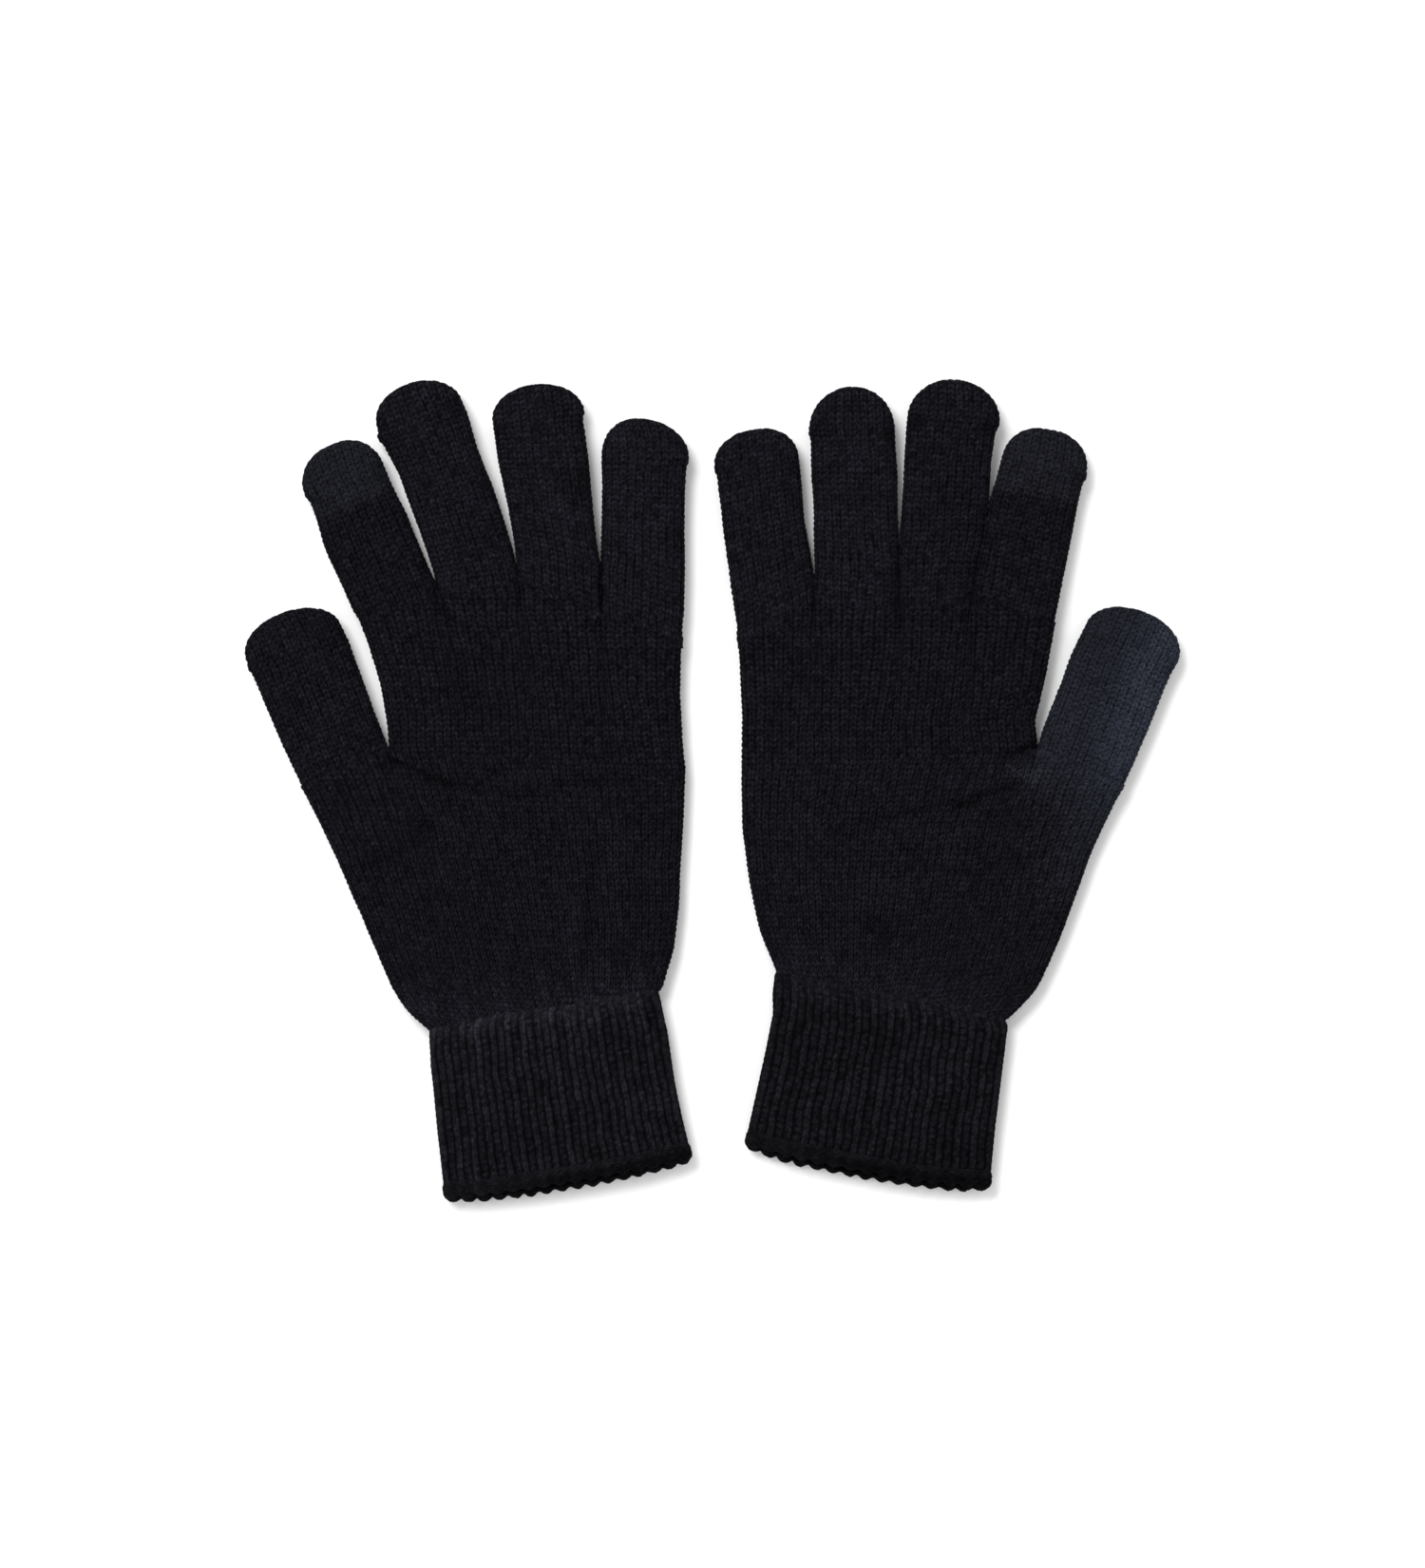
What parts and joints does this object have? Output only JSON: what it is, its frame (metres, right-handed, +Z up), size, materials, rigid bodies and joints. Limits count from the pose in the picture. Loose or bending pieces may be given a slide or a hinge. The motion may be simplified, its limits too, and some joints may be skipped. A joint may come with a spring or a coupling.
{
  "type": "pair of knitted touchscreen gloves",
  "caption": "Pair of knitted gloves lying flat, palms up: hollow digits that bend at their roots, ribbed cuffs that fold at the wrist and conductive yarn on the index tips and one thumb.",
  "frame": {"origin": "on the surface that the pair lies on, under the middle of the pair's box", "axes": "+X from the left glove towards the right glove, +Y from the cuffs towards the fingertips, +Z up out of the palms"},
  "size_m": [0.2714, 0.237, 0.01],
  "materials": {
    "knit_black": "plain knit, matte",
    "knit_rib": "one by one rib knit, matte",
    "knit_hem": "knitted edge with scallops, matte",
    "knit_conductive": "plain knit with conductive yarn, slight sheen",
    "knit_conductive_thumb": "plain knit with conductive yarn, slate blue, fading to black at its root",
    "elastic_thread": "covered elastic thread",
    "yarn_knot": "knotted yarn ends"
  },
  "bodies": {
    "left_palm": {"left_palm": "knit_black", "left_knots": "yarn_knot"},
    "left_thumb": {"left_thumb": "knit_black"},
    "left_index": {"left_index": "knit_black", "left_index_cap": "knit_conductive"},
    "left_middle": {"left_middle": "knit_black"},
    "left_ring": {"left_ring": "knit_black"},
    "left_little": {"left_little": "knit_black"},
    "left_cuff": {"left_cuff": "knit_rib", "left_hem": "knit_hem", "left_elastic": "elastic_thread"},
    "right_palm": {"right_palm": "knit_black", "right_knots": "yarn_knot"},
    "right_thumb": {"right_thumb": "knit_conductive_thumb"},
    "right_index": {"right_index": "knit_black", "right_index_cap": "knit_conductive"},
    "right_middle": {"right_middle": "knit_black"},
    "right_ring": {"right_ring": "knit_black"},
    "right_little": {"right_little": "knit_black"},
    "right_cuff": {"right_cuff": "knit_rib", "right_hem": "knit_hem", "right_elastic": "elastic_thread"}
  },
  "joints": [
    {"name": "left_thumb_bend", "type": "hinge", "parent": "left_palm", "child": "left_thumb", "pos_m": [-0.11138, 0.01572, 0.005], "axis": [0.9219, 0.3875, 0], "range_deg": [0, 80]},
    {"name": "left_index_bend", "type": "hinge", "parent": "left_palm", "child": "left_index", "pos_m": [-0.09608, 0.06276, 0.005], "axis": [0.9259, 0.3778, 0], "range_deg": [0, 80]},
    {"name": "left_middle_bend", "type": "hinge", "parent": "left_palm", "child": "left_middle", "pos_m": [-0.07246, 0.07146, 0.005], "axis": [0.9455, 0.3256, 0], "range_deg": [0, 80]},
    {"name": "left_ring_bend", "type": "hinge", "parent": "left_palm", "child": "left_ring", "pos_m": [-0.04629, 0.07222, 0.005], "axis": [0.9917, 0.1288, 0], "range_deg": [0, 80]},
    {"name": "left_little_bend", "type": "hinge", "parent": "left_palm", "child": "left_little", "pos_m": [-0.02011, 0.062, 0.005], "axis": [1, -0.0087, 0], "range_deg": [0, 80]},
    {"name": "left_wrist_fold", "type": "hinge", "parent": "left_palm", "child": "left_cuff", "pos_m": [-0.049, -0.0625, 0.005], "axis": [-0.989, -0.1478, 0], "range_deg": [0, 75]},
    {"name": "right_thumb_bend", "type": "hinge", "parent": "right_palm", "child": "right_thumb", "pos_m": [0.11179, 0.01595, 0.005], "axis": [0.9252, -0.3795, 0], "range_deg": [0, 80]},
    {"name": "right_index_bend", "type": "hinge", "parent": "right_palm", "child": "right_index", "pos_m": [0.09013, 0.06209, 0.005], "axis": [0.9792, -0.2028, 0], "range_deg": [0, 68]},
    {"name": "right_middle_bend", "type": "hinge", "parent": "right_palm", "child": "right_middle", "pos_m": [0.06638, 0.06497, 0.005], "axis": [0.9969, -0.0785, 0], "range_deg": [0, 80]},
    {"name": "right_ring_bend", "type": "hinge", "parent": "right_palm", "child": "right_ring", "pos_m": [0.04217, 0.066, 0.005], "axis": [0.9997, 0.0227, 0], "range_deg": [0, 80]},
    {"name": "right_little_bend", "type": "hinge", "parent": "right_palm", "child": "right_little", "pos_m": [0.01718, 0.06443, 0.005], "axis": [0.9925, 0.1219, 0], "range_deg": [0, 80]},
    {"name": "right_wrist_fold", "type": "hinge", "parent": "right_palm", "child": "right_cuff", "pos_m": [0.0525, -0.059, 0.005], "axis": [-0.9877, 0.1564, 0], "range_deg": [0, 75]},
    {"name": "right_glove_slide", "type": "slide", "parent": "left_palm", "child": "right_palm", "axis": [1, 0, 0], "range_m": [0, 0.05]}
  ]
}
